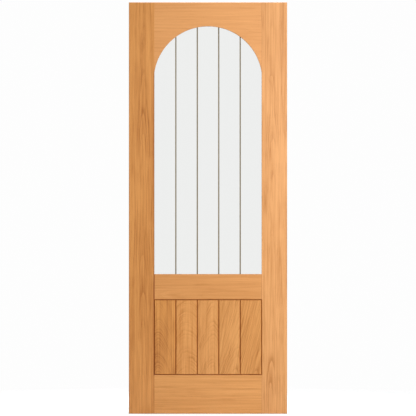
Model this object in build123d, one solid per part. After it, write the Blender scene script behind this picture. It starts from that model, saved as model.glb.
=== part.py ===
from build123d import *
import math
import os

# A framed oak door leaf with an arched light over a panel of tongue and groove boards.
# X runs along the width, Y from the front face to the back, Z up from the bottom edge.
# All sizes are millimetres.

# Leaf
door_width = 762.0
door_height = 1981.0
door_thickness = 35.0
leaf_arris = 1.5

# Stiles and rails
stile_width = 122.5
bottom_rail_height = 188.0
panel_height = 361.0
mid_rail_height = 123.0
head_depth = 115.0  # oak above the crown of the arch
arch_rise = 222.0  # from the springing of the arch to its crown

# Boarded panel
board_count = 5
panel_setback = 1.0  # from the frame's face to the boards' face, on both sides
board_chamfer = 3.5
frame_chamfer = 3.0
tongue_thickness = 8.0
tongue_length = 6.0  # from one board into the next
tongue_clearance = 0.2  # on each face of a tongue
tongue_gap = 1.0  # left at the bottom of a groove
panel_groove_depth = 10.0  # in the stiles and rails

# Glazing
light_arris = 1.0
glass_lip = 12.0  # oak in front of the glass
rebate_width = 12.0
glass_thickness = 6.0
glass_clearance = 3.0  # round the edge of the pane
glass_cut_width = 6.0
glass_cut_depth = 1.0
tape_thickness = 1.5
tape_inset = 1.5  # from the sight line, and from the edge of the pane
bead_chamfer = 3.0
block_length = 50.0
block_inset = 150.0  # from a corner of the pane to the middle of a side block

# Dowels and brads
dowel_diameter = 12.0
dowel_length = 120.0
dowel_end_gap = 2.0  # at each end of a dowel
dowel_margin = 38.0  # from a rail's edge to its nearest dowel
bottom_rail_dowels = 3  # at each end of the rail
mid_rail_dowels = 2
top_rail_dowels = 2
brad_width = 1.25  # across the bead's thickness
brad_thickness = 1.05
brad_length = 30.0
brad_pitch = 180.0  # the widest spacing of the brads along a bead
brad_margin = 40.0  # from a bead's end to its first brad

# Places that follow from the sizes
face = door_thickness / 2
half_light = door_width / 2 - stile_width
panel_top = bottom_rail_height + panel_height
light_bottom = panel_top + mid_rail_height
crown = door_height - head_depth
springing = crown - arch_rise
arch_radius = (half_light**2 + arch_rise**2) / (2 * arch_rise)
arch_centre = crown - arch_radius
board_pitch = 2 * half_light / board_count
board_thickness = door_thickness - 2 * panel_setback
groove_width = tongue_thickness + 2 * tongue_clearance
panel_tongue = panel_groove_depth - tongue_gap
pane_grow = rebate_width - glass_clearance
rebate_front = glass_lip - face
glass_front = rebate_front + tape_thickness
glass_back = glass_front + glass_thickness
bead_front = glass_back + tape_thickness
bead_middle = (bead_front + face) / 2


def slab(outline, front, back):
    """An outline drawn on X and Z, made solid from front to back along Y."""
    placed = Plane.XZ.offset(-front) * outline
    return extrude(placed, amount=back - front, dir=(0, 1, 0))


def sunk_edge(outline, depth, side):
    """An outline in the front face (side -1) or the back face (side 1), drawn in at 45 degrees."""
    placed = Plane.XZ.offset(-side * face) * outline
    return extrude(placed, amount=depth, dir=(0, -side, 0), taper=45)


def light_outline(grow):
    """The arched opening, grown by one width. The arch meets the sides at a slight angle."""
    half = half_light + grow
    radius = arch_radius + grow
    foot = light_bottom - grow
    rise = math.copysign(math.sqrt(radius**2 - half**2), half_light - arch_rise)
    shoulder = arch_centre + rise
    sides = Polyline((-half, shoulder), (-half, foot), (half, foot), (half, shoulder))
    arch = ThreePointArc((half, shoulder), (0, arch_centre + radius), (-half, shoulder))
    return make_face(sides + arch)


def panel_outline(grow):
    """The opening for the boards, grown by one width on every side."""
    middle = (bottom_rail_height + panel_top) / 2
    return Pos(0, middle) * Rectangle(2 * (half_light + grow), panel_height + 2 * grow)


def dowel_levels():
    """The heights of the dowels in each rail. In the top rail they stay clear of the arch."""
    reach = half_light - dowel_length / 2 - dowel_end_gap - dowel_diameter
    solid_from = arch_centre + math.sqrt((arch_radius + rebate_width) ** 2 - reach**2)
    lowest = solid_from + dowel_diameter
    return {
        "bottom_rail": spread(dowel_margin, bottom_rail_height - dowel_margin, bottom_rail_dowels),
        "mid_rail": spread(panel_top + dowel_margin, light_bottom - dowel_margin, mid_rail_dowels),
        "top_rail": spread(lowest, door_height - dowel_margin, top_rail_dowels),
    }


def spread(low, high, count):
    """Evenly spaced values from low to high."""
    if count == 1:
        return [(low + high) / 2]
    return [low + (high - low) * n / (count - 1) for n in range(count)]


def brad_places(length):
    """Distances of the brads along a bead."""
    usable = length - 2 * brad_margin
    count = max(2, math.ceil(usable / brad_pitch) + 1)
    return spread(brad_margin, length - brad_margin, count)


def dowel(side, level, spare=0.0):
    """A dowel across the joint of a rail and a stile, or the hole for it with spare length at both ends."""
    half = dowel_length / 2 + spare
    end = Plane(origin=(side * half_light - half, 0, level), z_dir=(1, 0, 0))
    return extrude(end * Circle(dowel_diameter / 2), amount=2 * half)


def dowels():
    """Every dowel by name."""
    made = {}
    for rail, levels in dowel_levels().items():
        for side, word in ((-1, "left"), (1, "right")):
            for number, level in enumerate(levels, start=1):
                made[f"{rail}_dowel_{word}_{number}"] = dowel(side, level)
    return made


def dowel_holes():
    """The holes that the dowels are glued into, half in a rail and half in a stile."""
    levels = [level for group in dowel_levels().values() for level in group]
    return [dowel(side, level, dowel_end_gap) for side in (-1, 1) for level in levels]


def brad(start, direction):
    """One flat-sided brad from a start point on a bead's inner edge."""
    head = Plane(origin=start, x_dir=(0, 1, 0), z_dir=direction)
    return extrude(head * Rectangle(brad_width, brad_thickness), amount=brad_length)


def bead_brads():
    """The brads that hold the beads, driven square to each bead's inner edge."""
    brads = []
    for side in (-1, 1):
        for along in brad_places(springing - light_bottom):
            start = (side * half_light, bead_middle, light_bottom + along)
            brads.append(brad(start, (side, 0, 0)))
    for along in brad_places(2 * half_light):
        start = (along - half_light, bead_middle, light_bottom)
        brads.append(brad(start, (0, 0, -1)))
    quarter = math.acos((springing - arch_centre) / arch_radius)
    for side in (-1, 1):
        for along in brad_places(arch_radius * quarter):
            angle = along / arch_radius
            outward = (side * math.sin(angle), 0, math.cos(angle))
            start = (arch_radius * outward[0], bead_middle, arch_centre + arch_radius * outward[2])
            brads.append(brad(start, outward))
    return brads


def leaf_blank():
    """The whole leaf as one block with its outer edges eased."""
    block = Pos(0, 0, door_height / 2) * Box(door_width, door_thickness, door_height)
    faces = block.faces().filter_by(Axis.Y)
    return chamfer(faces.edges(), leaf_arris)


def frame_cuts(brads):
    """Everything that is machined out of the stiles and rails."""
    return [
        slab(light_outline(0), -face, face),
        slab(light_outline(rebate_width), rebate_front, face),
        sunk_edge(light_outline(light_arris), light_arris, -1),
        slab(panel_outline(panel_groove_depth), -groove_width / 2, groove_width / 2),
        sunk_edge(panel_outline(frame_chamfer), frame_chamfer, -1),
        sunk_edge(panel_outline(frame_chamfer), frame_chamfer, 1),
        *dowel_holes(),
        *brads,
    ]


def frame_pieces(brads):
    """The two stiles and three rails, each a region of the blank with the cuts taken out."""
    half_door = door_width / 2
    regions = {
        "left_stile": (-half_door, -half_light, 0, door_height),
        "right_stile": (half_light, half_door, 0, door_height),
        "bottom_rail": (-half_light, half_light, 0, bottom_rail_height),
        "mid_rail": (-half_light, half_light, panel_top, light_bottom),
        "top_rail": (-half_light, half_light, springing, door_height),
    }
    blank = leaf_blank()
    cuts = frame_cuts(brads)
    made = {}
    for name, (left, right, low, high) in regions.items():
        centre = Pos((left + right) / 2, 0, (low + high) / 2)
        region = centre * Box(right - left, door_thickness, high - low)
        made[name] = (blank & region) - cuts
    return made


def board_plan(left_tongue, right_tongue):
    """A board seen from above. An edge has a tongue of the length given, or a groove at 0."""
    plan = chamfer(Rectangle(board_pitch, board_thickness).vertices(), board_chamfer)
    for side, length in ((-1, left_tongue), (1, right_tongue)):
        edge = side * board_pitch / 2
        if length:
            plan += Pos(edge + side * length / 2, 0) * Rectangle(length, tongue_thickness)
        else:
            depth = tongue_length + tongue_gap
            plan -= Pos(edge - side * depth / 2, 0) * Rectangle(depth, groove_width)
    return plan


def board_side():
    """A board seen from its edge: chamfered at both ends, with a tongue into each rail."""
    side = chamfer(Rectangle(board_thickness, panel_height).vertices(), board_chamfer)
    return side + Rectangle(tongue_thickness, panel_height + 2 * panel_tongue)


def boards():
    """The upright boards, each tongued into the next one, with the end boards tongued into the stiles."""
    made = {}
    middle = (bottom_rail_height + panel_top) / 2
    for number in range(1, board_count + 1):
        left = panel_tongue if number == 1 else 0
        right = panel_tongue if number == board_count else tongue_length
        upright = extrude(board_plan(left, right), amount=panel_height, both=True)
        across = extrude(Plane.YZ * board_side(), amount=board_pitch, both=True)
        place = Pos((number - (board_count + 1) / 2) * board_pitch, 0, middle)
        made[f"board_{number}"] = place * (upright & across)
    return made


def glass_pane():
    """The pane, with a shallow V cut down its front face over each joint of the boards below."""
    pane = slab(light_outline(pane_grow), glass_front, glass_back)
    half = glass_cut_width / 2
    for number in range(1, board_count):
        x = number * board_pitch - half_light
        section = Polygon(
            (x - half, glass_front),
            (x + half, glass_front),
            (x, glass_front + glass_cut_depth),
            align=None,
        )
        pane -= extrude(section, amount=door_height)
    return pane


def glazing_tape(front):
    """A closed run of foam tape between the pane and the oak."""
    ring = light_outline(pane_grow - tape_inset) - light_outline(tape_inset)
    return slab(ring, front, front + tape_thickness)


def glazing_blocks():
    """The blocks that carry the pane and keep it clear of the rebate."""
    middle = (glass_front + glass_back) / 2
    half_pane = half_light + pane_grow
    off_edge = glass_clearance / 2
    flat = Box(block_length, glass_thickness, glass_clearance)
    upright = Box(glass_clearance, glass_thickness, block_length)
    levels = {"lower": light_bottom + block_inset, "upper": springing - block_inset}
    made = {}
    for side, word in ((-1, "left"), (1, "right")):
        carried = Pos(side * half_pane / 2, middle, light_bottom - pane_grow - off_edge)
        made[f"{word}_setting_block"] = carried * flat
        for height, level in levels.items():
            made[f"{word}_{height}_block"] = Pos(side * (half_pane + off_edge), middle, level) * upright
    return made


def beads(brads):
    """The five glazing beads, mitred at the bottom corners and butted at the arch."""
    outer = half_light + rebate_width
    foot = light_bottom - rebate_width
    ring = slab(light_outline(rebate_width) - light_outline(0), bead_front, face)
    ring -= sunk_edge(light_outline(bead_chamfer), bead_chamfer, 1)
    inner = half_light
    sill = light_bottom
    top = door_height
    regions = {"bottom_bead": [(-outer, foot), (outer, foot), (inner, sill), (-inner, sill)]}
    for side, word in ((-1, "left"), (1, "right")):
        far = side * outer
        near = side * inner
        regions[f"{word}_bead"] = [(far, foot), (near, sill), (near, springing), (far, springing)]
        regions[f"{word}_arch_bead"] = [(2 * far, springing), (0, springing), (0, top), (2 * far, top)]
    made = {}
    for name, corners in regions.items():
        region = slab(Polygon(*corners, align=None), bead_front, face)
        made[name] = (ring & region) - brads
    return made


def door():
    """Every piece of the leaf by name."""
    brads = bead_brads()
    return {
        **frame_pieces(brads),
        **boards(),
        "glass_pane": glass_pane(),
        "front_tape": glazing_tape(rebate_front),
        "back_tape": glazing_tape(glass_back),
        **glazing_blocks(),
        **beads(brads),
        **dowels(),
        "bead_brads": Compound(children=brads),
    }


os.makedirs("parts", exist_ok=True)
for name, piece in door().items():
    export_step(piece, f"parts/{name}.step")
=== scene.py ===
import math
import bmesh
import bpy
from mathutils import Matrix, Vector


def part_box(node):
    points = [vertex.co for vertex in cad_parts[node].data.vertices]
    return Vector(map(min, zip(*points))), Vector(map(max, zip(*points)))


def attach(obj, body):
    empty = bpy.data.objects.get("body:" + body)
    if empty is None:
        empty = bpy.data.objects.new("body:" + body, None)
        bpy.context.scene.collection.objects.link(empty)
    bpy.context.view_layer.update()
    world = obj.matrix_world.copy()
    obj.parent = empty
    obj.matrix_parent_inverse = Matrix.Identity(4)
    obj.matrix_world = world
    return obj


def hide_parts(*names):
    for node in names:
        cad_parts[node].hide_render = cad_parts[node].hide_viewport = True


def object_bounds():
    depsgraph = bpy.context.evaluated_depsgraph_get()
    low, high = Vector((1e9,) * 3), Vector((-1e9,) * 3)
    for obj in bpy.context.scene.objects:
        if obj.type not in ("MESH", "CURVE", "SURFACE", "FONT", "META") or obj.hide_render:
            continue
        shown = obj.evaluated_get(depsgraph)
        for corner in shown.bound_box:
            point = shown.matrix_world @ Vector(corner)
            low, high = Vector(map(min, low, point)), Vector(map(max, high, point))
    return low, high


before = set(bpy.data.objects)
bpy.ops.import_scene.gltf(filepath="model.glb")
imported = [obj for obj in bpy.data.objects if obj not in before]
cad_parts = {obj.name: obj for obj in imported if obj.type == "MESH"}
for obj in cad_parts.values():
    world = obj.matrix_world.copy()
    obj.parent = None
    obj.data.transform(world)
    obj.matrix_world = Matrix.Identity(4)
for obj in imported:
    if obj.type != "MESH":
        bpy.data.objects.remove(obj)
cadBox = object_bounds()
print("frame loaded:", len(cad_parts), "nodes")

# places on the leaf, all read from the frame, in metres
leafLow, leafHigh = cadBox
midRailLow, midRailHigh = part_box("mid_rail")
paneLow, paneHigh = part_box("glass_pane")
faceY = leafHigh.y  # half the leaf's thickness
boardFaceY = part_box("board_3")[1].y  # half a board's thickness
jointX = midRailHigh.x  # where rails meet stiles, also the sight line of the glass
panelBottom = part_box("bottom_rail")[1].z
panelTop = midRailLow.z
rebateWidth = paneHigh.x - jointX  # how far the pane reaches past the sight line
crownZ = paneHigh.z - rebateWidth
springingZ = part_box("top_rail")[0].z
archRise = crownZ - springingZ
archRadius = (jointX ** 2 + archRise ** 2) / (2 * archRise)
archCentreZ = crownZ - archRadius

noiseMiddle = 0.5  # the mean of a noise, taken off where it has to swing both ways


# small helpers for node trees
def addNode(tree, kind, **settings):
    node = tree.nodes.new("ShaderNode" + kind)
    for name, value in settings.items():
        setattr(node, name, value)
    return node


def feed(tree, socket, value):
    if isinstance(value, bpy.types.NodeSocket):
        tree.links.new(value, socket)
    else:
        socket.default_value = value


def calc(tree, operation, *values, clamp=False):
    node = addNode(tree, "Math", operation=operation, use_clamp=clamp)
    for socket, value in zip(node.inputs, values):
        feed(tree, socket, value)
    return node.outputs[0]


def calcVector(tree, operation, *values):
    node = addNode(tree, "VectorMath", operation=operation)
    for socket, value in zip(node.inputs, values):
        feed(tree, socket, value)
    return node.outputs[0]


def ramp(tree, value, low, high, start=0.0, end=1.0):
    # a smooth step, from start where the value is low to end where it is high
    node = addNode(tree, "MapRange", interpolation_type="SMOOTHSTEP")
    for socket, number in zip(node.inputs, (value, low, high, start, end)):
        feed(tree, socket, number)
    return node.outputs[0]


def mixColour(tree, share, first, second, blend="MIX"):
    node = addNode(tree, "Mix", data_type="RGBA", blend_type=blend)
    feed(tree, node.inputs[0], share)
    feed(tree, node.inputs[6], first)
    feed(tree, node.inputs[7], second)
    return node.outputs[2]


def noise(tree, place, pattern, shift=None, colour=False):
    # a pattern gives its bends per metre along X, Y and Z, how many finer layers it has and their strength
    place = calcVector(tree, "MULTIPLY", place, pattern["perMetre"])
    if shift is not None:
        place = calcVector(tree, "ADD", place, shift)
    node = addNode(tree, "TexNoise")
    feed(tree, node.inputs["Vector"], place)
    node.inputs["Scale"].default_value = 1.0
    node.inputs["Detail"].default_value = pattern["detail"]
    node.inputs["Roughness"].default_value = pattern["rough"]
    return node.outputs["Color" if colour else "Fac"]


def newGroup(name, inputs, outputs):
    group = bpy.data.node_groups.new(name, "ShaderNodeTree")
    for way, sockets in (("INPUT", inputs), ("OUTPUT", outputs)):
        for label, kind in sockets.items():
            group.interface.new_socket(name=label, in_out=way, socket_type="NodeSocket" + kind)
    given = group.nodes.new("NodeGroupInput").outputs
    result = group.nodes.new("NodeGroupOutput").inputs
    return group, given, result


def useGroup(tree, group, values):
    node = tree.nodes.new("ShaderNodeGroup")
    node.node_tree = group
    for name, value in values.items():
        feed(tree, node.inputs[name], value)
    return node.outputs


def newMaterial(name):
    made = bpy.data.materials.new(name)
    made.use_nodes = True
    tree = made.node_tree
    place = addNode(tree, "TexCoord").outputs["Object"]
    return made, tree, tree.nodes["Principled BSDF"], place


def addBump(tree, shader, height, strength, depth):
    bump = addNode(tree, "Bump")
    bump.inputs["Strength"].default_value = strength
    bump.inputs["Distance"].default_value = depth
    feed(tree, bump.inputs["Height"], height)
    feed(tree, shader.inputs["Normal"], bump.outputs[0])


def screenColour(red, green, blue):
    # a colour as read on screen, 0 to 255, turned to the renderer's own scale by the usual screen curve
    def channel(value):
        value = value / 255
        return value / 12.92 if value <= 0.04045 else ((value + 0.055) / 1.055) ** 2.4
    return (channel(red), channel(green), channel(blue), 1.0)


def dress(nodeName, material):
    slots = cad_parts[nodeName].data.materials
    slots.clear()
    slots.append(material)


def addToScene(name, shape, materials):
    mesh = bpy.data.meshes.new(name)
    shape.to_mesh(mesh)
    shape.free()
    for material in materials:
        mesh.materials.append(material)
    made = bpy.data.objects.new(name, mesh)
    bpy.context.scene.collection.objects.link(made)
    return made


# how sawn oak looks: growth rings round the heart of the log, pores, fibres and slow clouds.
# X runs across a piece, Y into it and Z along its grain.
oakPatterns = {
    "slowBend": {"perMetre": (6.0, 6.0, 2.0), "detail": 1.5, "rough": 0.5},  # how the rings wander
    "quickWave": {"perMetre": (24.0, 24.0, 42.0), "detail": 1.0, "rough": 0.4},  # and how they ripple
    "patch": {"perMetre": (16.0, 16.0, 8.0), "detail": 1.0, "rough": 0.5},  # where they show or fade
    "pore": {"perMetre": (2300.0, 2300.0, 95.0), "detail": 1.0, "rough": 0.5},
    "fibre": {"perMetre": (620.0, 620.0, 7.0), "detail": 2.0, "rough": 0.6},
    "streak": {"perMetre": (125.0, 125.0, 2.6), "detail": 3.0, "rough": 0.72},
    "wisp": {"perMetre": (95.0, 95.0, 9.0), "detail": 1.0, "rough": 0.5},  # short dark dashes
    "cloud": {"perMetre": (8.0, 8.0, 2.0), "detail": 1.0, "rough": 0.5},
}
oakGrain = {
    "seedStep": (3.17, 7.31, 1.93),  # how far a seed of 1 moves the patterns along X, Y and Z
    "ringDrift": 0.31,  # how quickly ring widths change from ring to ring
    "ringUneven": 1.9,  # and by how many rings
    "lineFade": 1.5,  # a higher number makes a ring's dark line narrower
    "lineEdge": 0.9,  # where the line's sharp side ends, with 1 at the ring's inner edge
    "lineBold": (0.30, 0.70, 0.25, 1.15),  # some years leave a bolder line than others
    "linePatch": (0.36, 0.62, 0.25, 1.2),  # low and high of the pattern, then the strength at each
    "poreSpan": (0.60, 0.70),
    "poresInLine": 0.75,
    "poresBeside": 0.25,
    "wispSpan": (0.60, 0.76),
    "lineMean": 0.28,  # taken off, so that the lines don't darken a piece as a whole
    "wispTone": 0.22,
    "fibreTone": 0.60,
    "streakTone": 1.45,
    "cloudTone": 0.60,
    "middleTone": 0.34,  # 0 is a piece's pale colour, 1 its deep one
    "poreTint": (0.62, 0.50, 0.42, 1.0),
    "poreDark": 0.55,
    "roughness": 0.36,
    "fibreRough": 0.10,
    "poreRough": 0.18,
    "poreHeight": -0.7,
    "fibreHeight": 0.25,
    "lineHeight": -0.25,
}


def makeOakGroup():
    inputs = {
        "Vector": "Vector", "Heart X": "Float", "Heart Y": "Float", "Ring Width": "Float",
        "Taper": "Float", "Bend": "Float", "Wave": "Float", "Seed": "Float",
        "Pale": "Color", "Deep": "Color", "Rings": "Float", "Figure": "Float",
    }
    outputs = {"Color": "Color", "Roughness": "Float", "Height": "Float"}
    group, given, result = newGroup("oak grain", inputs, outputs)
    shift = addNode(group, "CombineXYZ")
    for socket, step in zip(shift.inputs, oakGrain["seedStep"]):
        feed(group, socket, calc(group, "MULTIPLY", given["Seed"], step))

    def pattern(name, colour=False):
        return noise(group, given["Vector"], oakPatterns[name], shift.outputs[0], colour)

    def wander(value, reach):
        # a noise turned into a swing of up to the reach on either side
        fullSwing = calc(group, "DIVIDE", reach, noiseMiddle)
        return calc(group, "MULTIPLY", calc(group, "SUBTRACT", value, noiseMiddle), fullSwing)

    # how far a place lies from the heart of the log, which tapers upwards, counted in rings
    place = addNode(group, "SeparateXYZ")
    feed(group, place.inputs[0], given["Vector"])
    bends = addNode(group, "SeparateXYZ")
    feed(group, bends.inputs[0], pattern("slowBend", colour=True))
    waves = pattern("quickWave")
    squares = []
    for axis, heart in enumerate(("Heart X", "Heart Y")):
        away = calc(group, "SUBTRACT", place.outputs[axis], given[heart])
        away = calc(group, "ADD", away, wander(bends.outputs[axis], given["Bend"]))
        away = calc(group, "ADD", away, wander(waves, given["Wave"]))
        squares.append(calc(group, "MULTIPLY", away, away))
    radius = calc(group, "SQRT", calc(group, "ADD", *squares))
    radius = calc(group, "ADD", radius, calc(group, "MULTIPLY", place.outputs[2], given["Taper"]))
    ring = calc(group, "DIVIDE", radius, given["Ring Width"])
    uneven = addNode(group, "TexNoise", noise_dimensions="1D")
    feed(group, uneven.inputs["W"], calc(group, "MULTIPLY_ADD", ring, oakGrain["ringDrift"], given["Seed"]))
    uneven.inputs["Scale"].default_value = 1.0
    uneven.inputs["Detail"].default_value = 1.0
    ring = calc(group, "ADD", ring, calc(group, "MULTIPLY", uneven.outputs[0], oakGrain["ringUneven"]))

    # the dark line that starts a ring, sharp on its inner side and fading outwards
    early = calc(group, "SUBTRACT", 1.0, calc(group, "FRACT", ring))
    line = calc(group, "POWER", early, oakGrain["lineFade"])
    line = calc(group, "MULTIPLY", line, ramp(group, early, 1.0, oakGrain["lineEdge"]))
    line = calc(group, "MULTIPLY", line, ramp(group, uneven.outputs[0], *oakGrain["lineBold"]))
    line = calc(group, "MULTIPLY", line, ramp(group, pattern("patch"), *oakGrain["linePatch"]))

    poreShare = calc(group, "MULTIPLY_ADD", line, oakGrain["poresInLine"], oakGrain["poresBeside"])
    pores = calc(group, "MULTIPLY", ramp(group, pattern("pore"), *oakGrain["poreSpan"]), poreShare)
    fibre = pattern("fibre")

    # the tone, from pale to deep
    tone = calc(group, "MULTIPLY", calc(group, "SUBTRACT", line, oakGrain["lineMean"]), given["Rings"])
    wisp = ramp(group, pattern("wisp"), *oakGrain["wispSpan"])
    tone = calc(group, "MULTIPLY_ADD", wisp, oakGrain["wispTone"], tone)
    swings = {"fibreTone": fibre, "streakTone": pattern("streak"), "cloudTone": pattern("cloud")}
    for weight, value in swings.items():
        swing = calc(group, "SUBTRACT", value, noiseMiddle)
        tone = calc(group, "MULTIPLY_ADD", swing, oakGrain[weight], tone)
    tone = calc(group, "MULTIPLY_ADD", tone, given["Figure"], oakGrain["middleTone"], clamp=True)

    wood = mixColour(group, tone, given["Pale"], given["Deep"])
    poreColour = mixColour(group, 1.0, given["Deep"], oakGrain["poreTint"], "MULTIPLY")
    wood = mixColour(group, calc(group, "MULTIPLY", pores, oakGrain["poreDark"]), wood, poreColour)
    feed(group, result["Color"], wood)
    rough = calc(group, "MULTIPLY_ADD", fibre, oakGrain["fibreRough"], oakGrain["roughness"])
    feed(group, result["Roughness"], calc(group, "MULTIPLY_ADD", pores, oakGrain["poreRough"], rough))
    height = calc(group, "MULTIPLY", fibre, oakGrain["fibreHeight"])
    height = calc(group, "MULTIPLY_ADD", pores, oakGrain["poreHeight"], height)
    feed(group, result["Height"], calc(group, "MULTIPLY_ADD", line, oakGrain["lineHeight"], height))
    return group


oakGroup = makeOakGroup()

# painted shade in the V joints of the panel, and painted shadow lines where rails meet stiles
shadeSizes = {
    "grooveTop": 0.0001,  # how far below a face the painted shade of a V joint starts
    "grooveReach": 0.0014,  # and where it is full
    "aroundPanel": 0.006,  # how far past the panel's edge it may lie
    "jointWidth": 0.0020,  # the line at a right joint
    "leftCore": 0.6,  # the share of a left line's width that is full
    "headFrom": 0.02,  # the left line fades beside the top rail, from below the springing
    "headTo": 0.03,  # to above it
    "besideHead": 0.05,  # and keeps this share
    "footReach": 0.01,  # it also fades this far below the panel
    "besideFoot": 0.25,
}


def makeShadeGroup():
    inputs = {
        "Vector": "Vector", "Face": "Float", "Groove": "Float",
        "Left Joint": "Float", "Right Joint": "Float", "Left Width": "Float",
    }
    group, given, result = newGroup("joint shade", inputs, {"Shade": "Float"})
    place = addNode(group, "SeparateXYZ")
    feed(group, place.inputs[0], given["Vector"])
    x, y, z = place.outputs

    # painted shade on what lies below a face, in the panel and just round it
    fromFace = calc(group, "SUBTRACT", given["Face"], calc(group, "ABSOLUTE", y))
    groove = ramp(group, fromFace, shadeSizes["grooveTop"], shadeSizes["grooveReach"])
    panelMiddle = (panelBottom + panelTop) / 2
    halfHeight = (panelTop - panelBottom) / 2 + shadeSizes["aroundPanel"]
    besideX = calc(group, "ABSOLUTE", x)
    besideZ = calc(group, "ABSOLUTE", calc(group, "SUBTRACT", z, panelMiddle))
    inside = calc(group, "LESS_THAN", besideX, jointX + shadeSizes["aroundPanel"])
    inside = calc(group, "MULTIPLY", inside, calc(group, "LESS_THAN", besideZ, halfHeight))
    groove = calc(group, "MULTIPLY", calc(group, "MULTIPLY", groove, inside), given["Groove"])

    # the two painted shadow lines upright along the joints; the left one is wider and darker, painted shade
    # beside the glass
    fromJoint = calc(group, "ABSOLUTE", calc(group, "SUBTRACT", besideX, jointX))
    core = calc(group, "MULTIPLY", given["Left Width"], shadeSizes["leftCore"])
    leftLine = ramp(group, fromJoint, core, given["Left Width"], 1.0, 0.0)
    leftLine = calc(group, "MULTIPLY", leftLine, calc(group, "LESS_THAN", x, 0.0))
    rightLine = ramp(group, fromJoint, 0.0, shadeSizes["jointWidth"], 1.0, 0.0)
    rightLine = calc(group, "MULTIPLY", rightLine, calc(group, "GREATER_THAN", x, 0.0))
    headLow, headHigh = springingZ - shadeSizes["headFrom"], springingZ + shadeSizes["headTo"]
    fade = ramp(group, z, headLow, headHigh, 1.0, shadeSizes["besideHead"])
    footLow = panelBottom - shadeSizes["footReach"]
    fade = calc(group, "MULTIPLY", fade, ramp(group, z, footLow, panelBottom, shadeSizes["besideFoot"], 1.0))
    leftLine = calc(group, "MULTIPLY", leftLine, fade)
    line = calc(group, "MULTIPLY", leftLine, given["Left Joint"])
    line = calc(group, "MULTIPLY_ADD", rightLine, given["Right Joint"], line)
    feed(group, result["Shade"], calc(group, "MAXIMUM", groove, line))
    return group


shadeGroup = makeShadeGroup()

oakFinish = {
    "haze": 0.030,  # what the satin coat adds to every colour seen through it
    "darkest": 0.004,
    "shadeTint": (190, 160, 114),  # painted shade: multiplies the wood's colour in the V joints and along the joints at the stiles
    "coat": 0.12,
    "coatRough": 0.28,
    "bump": 0.35,
    "bumpDepth": 0.0004,
}
oakStandard = {
    "turn": 0,  # degrees, and 90 lays the grain along a rail
    "ringWidth": 0.0036,
    "taper": 0.02,  # metres in radius for each metre of length
    "bend": 0.004,  # metres that the rings wander to either side
    "wave": 0.0,  # and metres that they ripple
    "rings": 0.32,  # how strongly the rings show
    "figure": 1.0,  # how strongly everything shows
    "face": faceY,
    "groove": 1.0,  # how strong the painted shade is in the V joints
    "leftJoint": 0.0,  # and along the joints at the stiles
    "rightJoint": 0.0,
    "leftWidth": 0.002,
}


def underLacquer(red, green, blue):
    # the bare wood that looks like this screen colour once it is coated and lit
    seen = screenColour(red, green, blue)[:3]
    return (*[max(value - oakFinish["haze"], oakFinish["darkest"]) for value in seen], 1.0)


def oakMaterial(nodeName, own):
    look = {**oakStandard, **own}
    made, tree, shader, place = newMaterial("oak " + nodeName.replace("_", " "))
    low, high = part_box(nodeName)
    turn = Matrix.Rotation(math.radians(look["turn"]), 3, "Y")
    grainWay = addNode(tree, "Mapping")  # centres the grain on the piece and turns it
    feed(tree, grainWay.inputs["Vector"], place)
    grainWay.inputs["Rotation"].default_value = turn.to_euler()
    grainWay.inputs["Location"].default_value = -(turn @ ((low + high) / 2))
    heartX, heartY = look["heart"]
    grain = useGroup(tree, oakGroup, {
        "Vector": grainWay.outputs[0],
        "Heart X": heartX,
        "Heart Y": heartY,
        "Ring Width": look["ringWidth"],
        "Taper": look["taper"],
        "Bend": look["bend"],
        "Wave": look["wave"],
        "Seed": look["seed"],
        "Pale": underLacquer(*look["pale"]),
        "Deep": underLacquer(*look["deep"]),
        "Rings": look["rings"],
        "Figure": look["figure"],
    })
    shade = useGroup(tree, shadeGroup, {
        "Vector": place,
        "Face": look["face"],
        "Groove": look["groove"],
        "Left Joint": look["leftJoint"],
        "Right Joint": look["rightJoint"],
        "Left Width": look["leftWidth"],
    })
    # painted shade: the wood darkened by a tint wherever the joint shade mask lies
    paintedShade = mixColour(tree, 1.0, grain["Color"], screenColour(*oakFinish["shadeTint"]), "MULTIPLY")
    feed(tree, shader.inputs["Base Color"], mixColour(tree, shade["Shade"], grain["Color"], paintedShade))
    feed(tree, shader.inputs["Roughness"], grain["Roughness"])
    addBump(tree, shader, grain["Height"], oakFinish["bump"], oakFinish["bumpDepth"])
    shader.inputs["Coat Weight"].default_value = oakFinish["coat"]
    shader.inputs["Coat Roughness"].default_value = oakFinish["coatRough"]
    return made


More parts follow.
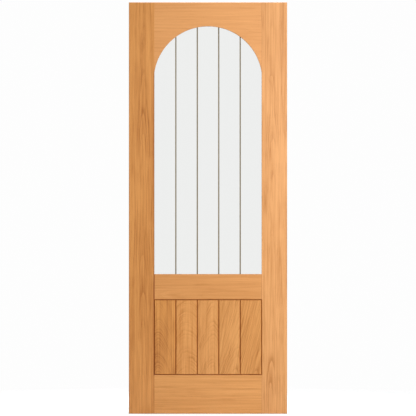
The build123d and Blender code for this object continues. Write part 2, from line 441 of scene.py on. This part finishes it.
# the frame's five members. The heart is measured from the middle of a piece, across and into it.
# the right stile and top rail are given paler colours than the left stile: partly the oak's own tones,
# partly painted light falling from the upper right
frameLooks = {
    "left_stile": {
        "heart": (0.008, 0.017), "ringWidth": 0.0052, "taper": 0.022, "bend": 0.009, "wave": 0.0006,
        "seed": 21.7, "rings": 0.42, "pale": (223, 157, 92), "deep": (169, 103, 47),
        "leftJoint": 0.9, "leftWidth": 0.0045,
    },
    "right_stile": {
        "heart": (-0.012, 0.017), "ringWidth": 0.0050, "taper": 0.023, "bend": 0.010, "wave": 0.0008,
        "seed": 29.6, "rings": 0.50, "pale": (229, 167, 109), "deep": (180, 117, 62),
        "rightJoint": 0.45,
    },
    "top_rail": {
        "heart": (0.055, 0.108), "turn": 90, "taper": 0.012, "bend": 0.012,
        "seed": 0.3, "figure": 0.55, "rings": 0.15, "pale": (235, 171, 111), "deep": (190, 125, 70),
        "leftJoint": 0.1, "rightJoint": 0.2,
    },
    "mid_rail": {
        "heart": (-0.038, 0.089), "turn": 90, "taper": 0.012, "bend": 0.008,
        "seed": 11.8, "figure": 0.75, "rings": 0.15, "pale": (226, 162, 102), "deep": (180, 116, 60),
        "leftJoint": 0.8, "leftWidth": 0.0032, "rightJoint": 0.6,
    },
    "bottom_rail": {
        "heart": (0.059, 0.102), "turn": 90, "taper": 0.009, "bend": 0.010,
        "seed": 33.1, "figure": 0.75, "rings": 0.18, "pale": (232, 168, 105), "deep": (185, 121, 62),
        "leftJoint": 0.25, "rightJoint": 0.2,
    },
}
for nodeName, look in frameLooks.items():
    dress(nodeName, oakMaterial(nodeName, look))
print("frame dressed")

# the five boards, each sawn from another place in a log
boardLooks = {
    "board_1": {
        "heart": (-0.023, 0.018), "ringWidth": 0.0051, "taper": 0.312, "bend": 0.014, "wave": 0.004,
        "seed": 7.2, "rings": 0.46, "pale": (221, 155, 88), "deep": (163, 98, 41),
    },
    "board_2": {
        "heart": (0.005, 0.08), "ringWidth": 0.0054, "taper": 0.28, "bend": 0.016, "wave": 0.005,
        "seed": 17.4, "rings": 0.46, "pale": (226, 161, 98), "deep": (176, 110, 52),
    },
    "board_3": {
        "heart": (0.020, 0.016), "ringWidth": 0.0062, "taper": 0.28, "bend": 0.016, "wave": 0.004,
        "seed": 26.9, "rings": 0.46, "pale": (226, 162, 100), "deep": (173, 109, 53),
    },
    "board_4": {
        "heart": (0.042, 0.005), "turn": -9.0, "ringWidth": 0.0081, "taper": 0.16, "bend": 0.018,
        "wave": 0.003, "seed": 37.4, "rings": 0.52, "figure": 0.9,
        "pale": (223, 160, 98), "deep": (171, 108, 51),
    },
    "board_5": {
        "heart": (0.06, 0.007), "turn": -12.0, "ringWidth": 0.0079, "taper": 0.10, "bend": 0.018,
        "wave": 0.002, "seed": 26.8, "rings": 0.30,
        "pale": (224, 160, 96), "deep": (168, 105, 51),
    },
}
for nodeName, look in boardLooks.items():
    dress(nodeName, oakMaterial(nodeName, {**look, "face": boardFaceY}))
print("boards dressed")

# glazing beads at the back
beadShared = {"pale": (226, 160, 100), "deep": (180, 114, 58), "groove": 0.0}
beadLooks = {
    "bottom_bead": {"heart": (0.02, 0.09), "turn": 90, "seed": 12.3},
    "left_bead": {"heart": (0.02, 0.09), "seed": 13.8},
    "right_bead": {"heart": (-0.02, 0.09), "seed": 14.9},
    "left_arch_bead": {"heart": (0.10, 0.09), "turn": 40, "seed": 15.5},
    "right_arch_bead": {"heart": (-0.10, 0.09), "turn": -40, "seed": 16.1},
}
for nodeName, look in beadLooks.items():
    dress(nodeName, oakMaterial(nodeName, {**beadShared, **look}))

# pieces that hold the leaf together and the glass in place, by a word in their nodes' names
plainLooks = {
    "dowel": {
        "colour": (214, 184, 144), "second": (190, 156, 114), "rough": 0.54, "metal": 0.0,
        "perMetre": (300, 300, 20),
    },
    "tape": {
        "colour": (150, 132, 112), "second": (132, 116, 98), "rough": 0.79, "metal": 0.0,
        "perMetre": (900, 900, 900),
    },
    "block": {
        "colour": (58, 58, 60), "second": (46, 46, 48), "rough": 0.49, "metal": 0.0,
        "perMetre": (500, 500, 500),
    },
    "brads": {
        "colour": (176, 174, 170), "second": (140, 137, 132), "rough": 0.29, "metal": 1.0,
        "perMetre": (700, 700, 700),
    },
}
speckled = {  # shared by all finishes with a fine speck
    "layers": {"detail": 2.0, "rough": 0.6},
    "colourSpan": (0.3, 0.7),
    "bumpDepth": 0.0002,
}


def speckledMaterial(name, look, roughSpread, bump):
    made, tree, shader, place = newMaterial(name)
    speck = noise(tree, place, {**speckled["layers"], "perMetre": look["perMetre"]})
    share = ramp(tree, speck, *speckled["colourSpan"])
    first, second = screenColour(*look["colour"]), screenColour(*look["second"])
    feed(tree, shader.inputs["Base Color"], mixColour(tree, share, first, second))
    feed(tree, shader.inputs["Roughness"], calc(tree, "MULTIPLY_ADD", speck, roughSpread, look["rough"]))
    shader.inputs["Metallic"].default_value = look["metal"]
    addBump(tree, shader, speck, bump, speckled["bumpDepth"])
    return made


for word, look in plainLooks.items():
    material = speckledMaterial(word, look, roughSpread=0.12, bump=0.3)
    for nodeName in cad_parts:
        if word in nodeName:
            dress(nodeName, material)
print("beads and small pieces dressed")

# the pane, with a satin V cut over each joint of the boards
glassLook = {
    "tint": (252, 253, 252),
    "ior": 1.5,
    "roughness": 0.02,  # where it is smeared most
    "smear": {"perMetre": (9.0, 9.0, 5.0), "detail": 2.0, "rough": 0.5},
    "cutWidth": 0.0060,
    "cutDepth": 0.0010,
    "arcSteps": 360,  # round a whole circle
}
cutLook = {
    "colour": (127, 111, 81), "second": (105, 91, 63), "rough": 0.4, "metal": 0.0,
    "perMetre": (1500.0, 1500.0, 240.0),
}
near = 1e-5  # metres within which a point counts as lying on a line or plane
mergeWithin = 1e-6
facingFront = -0.5  # a face whose normal has a lower y looks forward


def clearGlassMaterial():
    made, tree, shader, place = newMaterial("clear glass")
    shader.inputs["Base Color"].default_value = screenColour(*glassLook["tint"])
    shader.inputs["Transmission Weight"].default_value = 1.0
    shader.inputs["IOR"].default_value = glassLook["ior"]
    smear = noise(tree, place, glassLook["smear"])
    feed(tree, shader.inputs["Roughness"], calc(tree, "MULTIPLY", smear, glassLook["roughness"]))
    return made


def makePane():
    radius = archRadius + rebateWidth
    thickness = paneHigh.y - paneLow.y
    shape = bmesh.new()
    upright = Matrix.Translation((0, paneLow.y, archCentreZ)) @ Matrix.Rotation(math.radians(90), 4, "X")
    steps = glassLook["arcSteps"]
    bmesh.ops.create_circle(shape, cap_ends=True, segments=steps, radius=radius, matrix=upright)

    def cutAt(point, normal, clear=False):
        every = shape.verts[:] + shape.edges[:] + shape.faces[:]
        bmesh.ops.bisect_plane(shape, geom=every, plane_co=point, plane_no=normal, clear_outer=clear)

    # a disc loses its lower half and both sides, and its straight edge is drawn down to the pane's foot
    cutAt((0, 0, archCentreZ), (0, 0, -1), clear=True)
    for side in (-1, 1):
        cutAt((side * paneHigh.x, 0, 0), (side, 0, 0), clear=True)
    foot = [e for e in shape.edges if all(abs(v.co.z - archCentreZ) < near for v in e.verts)]
    grown = bmesh.ops.extrude_edge_only(shape, edges=foot)["geom"]
    low = [v for v in grown if isinstance(v, bmesh.types.BMVert)]
    bmesh.ops.translate(shape, verts=low, vec=(0, 0, paneLow.z - archCentreZ))

    # three lines for each V cut, then the thickness, then the middle lines of the front are pressed in
    pitch = 2 * jointX / len(boardLooks)
    cuts = [number * pitch - jointX for number in range(1, len(boardLooks))]
    half = glassLook["cutWidth"] / 2
    for middle in cuts:
        for x in (middle - half, middle, middle + half):
            cutAt((x, 0, 0), (1, 0, 0))
    bmesh.ops.remove_doubles(shape, verts=shape.verts, dist=mergeWithin)
    back = bmesh.ops.extrude_face_region(shape, geom=shape.faces[:], use_keep_orig=True)["geom"]
    moved = [v for v in back if isinstance(v, bmesh.types.BMVert)]
    bmesh.ops.translate(shape, verts=moved, vec=(0, thickness, 0))
    front = [v for v in shape.verts if abs(v.co.y - paneLow.y) < near]
    bottoms = [v for v in front if any(abs(v.co.x - middle) < near for middle in cuts)]
    bmesh.ops.translate(shape, verts=bottoms, vec=(0, glassLook["cutDepth"], 0))
    bmesh.ops.recalc_face_normals(shape, faces=shape.faces)
    for face in shape.faces:
        place = face.calc_center_median()
        inCut = any(abs(place.x - middle) < half for middle in cuts)
        if inCut and face.normal.y < facingFront and place.y < paneLow.y + glassLook["cutDepth"]:
            face.material_index = 1
    satin = speckledMaterial("satin cut glass", cutLook, roughSpread=0.2, bump=0.4)
    pane = addToScene("cut_glass_pane", shape, [clearGlassMaterial(), satin])
    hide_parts("glass_pane")
    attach(pane, "root")
    return pane


pane = makePane()
print("glass made:", len(pane.data.polygons), "faces")

# floor, light and camera
floorLook = {
    "radius": 2.6,
    "steps": 96,
    "fadeFrom": 0.9,  # from here out the floor melts into the background
    "fadeTo": 2.5,
    "drop": 0.0004,  # below the leaf, so that the two faces don't meet
    "colour": (234, 239, 240),
    "rough": 0.9,
    "glow": 0.30,  # for the camera alone, against the shadow at the foot of the leaf
    "glowTint": (0.93, 1.0, 1.03, 1.0),
}


def makeFloor():
    shape = bmesh.new()
    bmesh.ops.create_circle(shape, cap_ends=True, segments=floorLook["steps"], radius=floorLook["radius"])
    bmesh.ops.translate(shape, verts=shape.verts, vec=(0, 0, -floorLook["drop"]))
    made, tree, shader, place = newMaterial("pale floor")
    distance = addNode(tree, "VectorMath", operation="LENGTH")
    feed(tree, distance.inputs[0], place)
    fade = ramp(tree, distance.outputs["Value"], floorLook["fadeFrom"], floorLook["fadeTo"], 1.0, 0.0)
    shader.inputs["Base Color"].default_value = screenColour(*floorLook["colour"])
    shader.inputs["Roughness"].default_value = floorLook["rough"]
    shader.inputs["Specular IOR Level"].default_value = 0.0
    shader.inputs["Emission Color"].default_value = floorLook["glowTint"]
    seen = addNode(tree, "LightPath").outputs["Is Camera Ray"]
    feed(tree, shader.inputs["Emission Strength"], calc(tree, "MULTIPLY", seen, floorLook["glow"]))
    feed(tree, shader.inputs["Alpha"], fade)
    floor = addToScene("floor", shape, [made])


studio = {
    "around": 0.42,  # soft light from every side
    "throughGlass": 0.893,  # the same surroundings, as the clear pane shows them
    "behind": 0.985,  # what the camera sees past the door
    "softboxes": {
        "key": {"place": (1.5, -2.15, 1.60), "aim": (0.0, 0.0, 1.25), "size": 1.3, "watts": 55.0},
        "overhead": {"place": (0.0, 0.2, 4.6), "aim": (0.0, 0.0, 0.0), "size": 2.4, "watts": 90.0},
        "fill behind": {"place": (-1.8, 2.6, 2.0), "aim": (0.0, 0.0, 1.0), "size": 1.8, "watts": 46.0},
    },
}


def makeStudio():
    world = bpy.data.worlds.new("studio")
    bpy.context.scene.world = world
    world.use_nodes = True
    tree = world.node_tree
    background = tree.nodes["Background"]
    path = addNode(tree, "LightPath").outputs
    around = studio["around"]
    past = calc(tree, "MULTIPLY_ADD", path["Is Transmission Ray"], studio["throughGlass"] - around, around)
    strength = calc(tree, "MULTIPLY_ADD", path["Is Camera Ray"], studio["behind"] - around, past)
    feed(tree, background.inputs["Strength"], strength)
    background.inputs["Color"].default_value = (1, 1, 1, 1)
    for name, box in studio["softboxes"].items():
        lamp = bpy.data.lights.new(name, "AREA")
        lamp.shape = "DISK"
        lamp.size = box["size"]
        lamp.energy = box["watts"]
        holder = bpy.data.objects.new(name, lamp)
        bpy.context.scene.collection.objects.link(holder)
        holder.visible_camera = False  # a lamp lights the door but isn't seen, nor through the pane
        holder.visible_transmission = False
        way = Vector(box["aim"]) - Vector(box["place"])
        holder.location = box["place"]
        holder.rotation_euler = way.to_track_quat("-Z", "Y").to_euler()
    look = bpy.context.scene.view_settings
    look.view_transform = "Standard"
    look.look = "None"


photoView = {
    "lens": 300.0,  # the photo shows no perspective, so the lens is long
    "sensor": 36.0,
    "frameSize": 2.003,  # metres that the square picture spans at the leaf's face
    "clip": 4,  # times the camera's distance
}


def makeCamera():
    data = bpy.data.cameras.new("camera")
    data.lens = photoView["lens"]
    data.sensor_width = photoView["sensor"]
    distance = photoView["frameSize"] / photoView["sensor"] * photoView["lens"]
    data.clip_end = distance * photoView["clip"]
    camera = bpy.data.objects.new("camera", data)
    camera.location = (0, -faceY - distance, (leafLow.z + leafHigh.z) / 2)
    camera.rotation_euler = (math.radians(90), 0, 0)
    bpy.context.scene.collection.objects.link(camera)
    bpy.context.scene.camera = camera


makeFloor()
makeStudio()
makeCamera()
print("studio ready")
